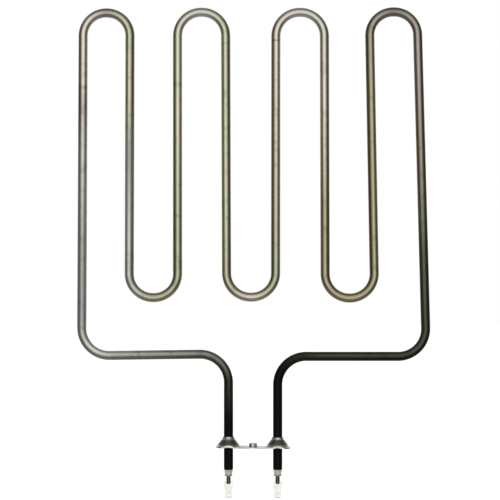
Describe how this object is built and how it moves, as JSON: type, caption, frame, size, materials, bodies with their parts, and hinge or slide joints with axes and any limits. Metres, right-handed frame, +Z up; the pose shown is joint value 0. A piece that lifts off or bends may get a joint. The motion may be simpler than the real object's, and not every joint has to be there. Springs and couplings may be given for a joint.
{
  "type": "tubular heating element",
  "caption": "Steel-sheathed electric heating tube bent into a flat serpentine, with a pressed fixing bracket round its two legs and a push-on tab below each leg.",
  "frame": {"origin": "middle of the fixing bracket's flat underside, on the axis of its threaded hole", "axes": "+Z up the two legs towards the serpentine, +X to the right seen from the front, -Y out of the front; the serpentine lies in the XZ plane"},
  "size_m": [0.3055, 0.019, 0.4243],
  "materials": {
    "sheath_steel": "stainless tube, tinted grey to straw and brown by annealing, blackened on the legs",
    "magnesia": "packed powder",
    "resistance_wire": "oxidised nickel-chrome wire",
    "pin_steel": "dull drawn steel",
    "seal_resin": "cured silicone resin",
    "bead_ceramic": "unglazed steatite",
    "tab_steel": "nickel-plated, bright and plain",
    "bracket_steel": "pressed stainless sheet, darker on the drawn cones",
    "nut_steel": "zinc-plated"
  },
  "bodies": {
    "root": {"sheath_tube": "sheath_steel", "magnesia_fill": "magnesia", "resistance_coil": "resistance_wire", "terminal_pin_left": "pin_steel", "terminal_pin_right": "pin_steel", "resin_seal_left": "seal_resin", "resin_seal_right": "seal_resin", "ceramic_bead_left": "bead_ceramic", "ceramic_bead_right": "bead_ceramic", "tab_terminal_left": "tab_steel", "tab_terminal_right": "tab_steel", "mounting_bracket": "bracket_steel", "press_nut": "nut_steel"}
  },
  "joints": []
}
